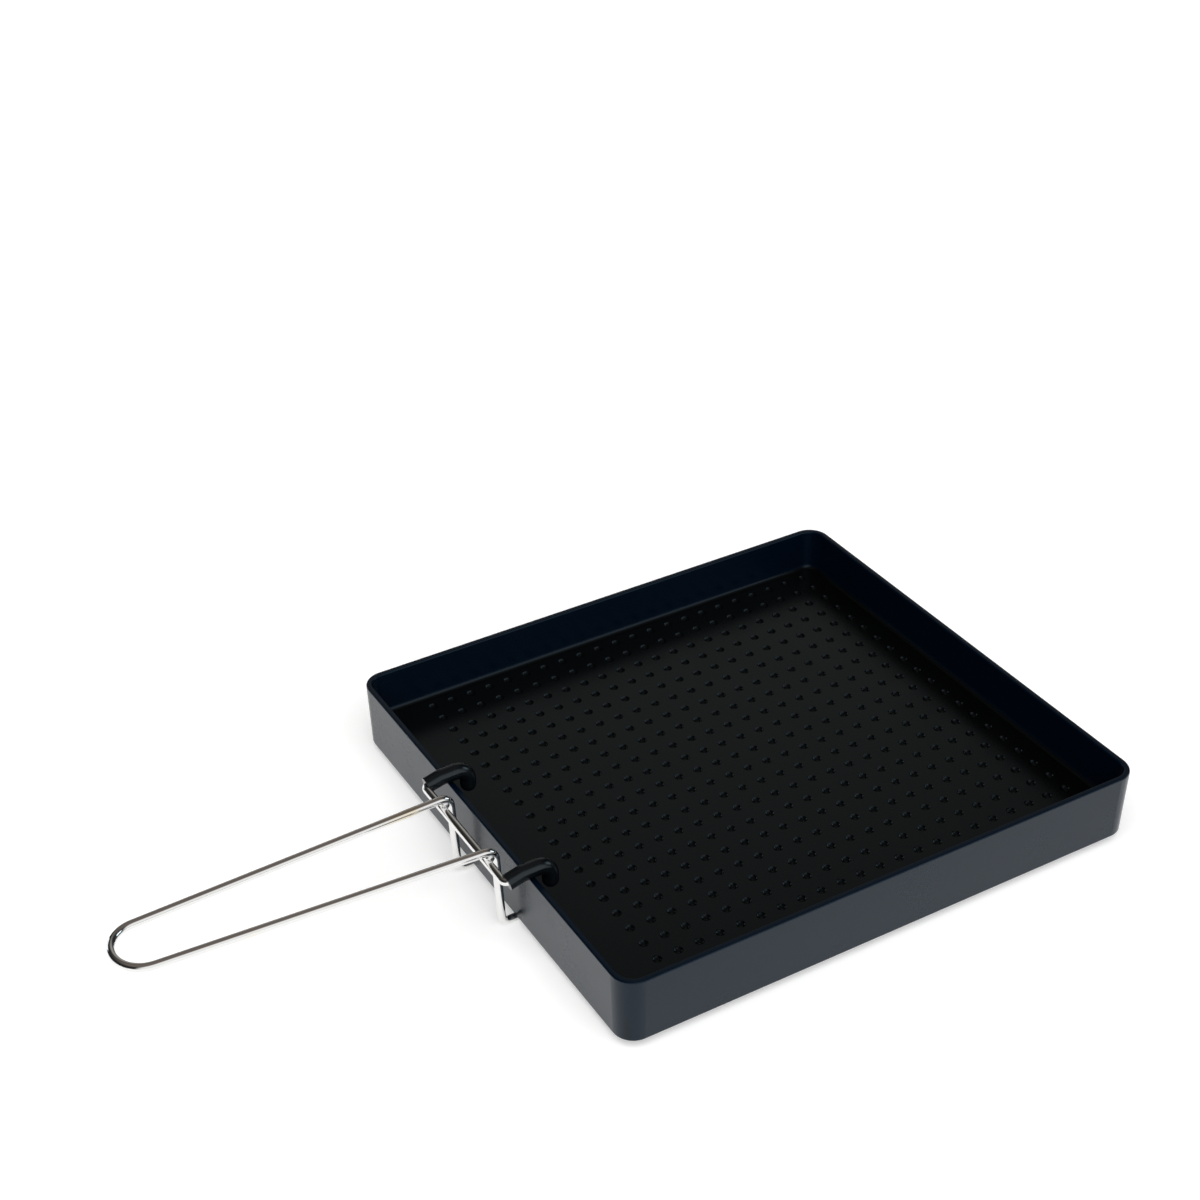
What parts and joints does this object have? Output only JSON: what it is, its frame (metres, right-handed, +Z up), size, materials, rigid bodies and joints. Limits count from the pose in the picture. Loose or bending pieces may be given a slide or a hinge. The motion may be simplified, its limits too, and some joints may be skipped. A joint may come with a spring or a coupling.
{
  "type": "grill pan",
  "caption": "Shallow rectangular grill pan with a dimpled cooking face and a wire handle that clips over one wall.",
  "frame": {"origin": "centre of the cooking face, which is the top of the pan's dimpled floor", "axes": "+X across the pan, away from the handle; +Y along the wall that carries the handle; +Z up, out of the open pan"},
  "size_m": [0.46, 0.258, 0.0485],
  "materials": {
    "coated_casting": "dark non-stick coating, satin",
    "bright_wire": "polished",
    "sleeve_rubber": "smooth, satin"
  },
  "bodies": {
    "pan": {"pan": "coated_casting"},
    "handle": {"handle_wire": "bright_wire", "hook_wire": "bright_wire", "left_sleeve": "sleeve_rubber", "right_sleeve": "sleeve_rubber", "left_weld": "bright_wire", "right_weld": "bright_wire"}
  },
  "joints": [
    {"name": "handle_tilt", "type": "hinge", "parent": "pan", "child": "handle", "pos_m": [-0.137, 0, 0.023], "axis": [0, 1, 0], "range_deg": [0, 25]}
  ]
}
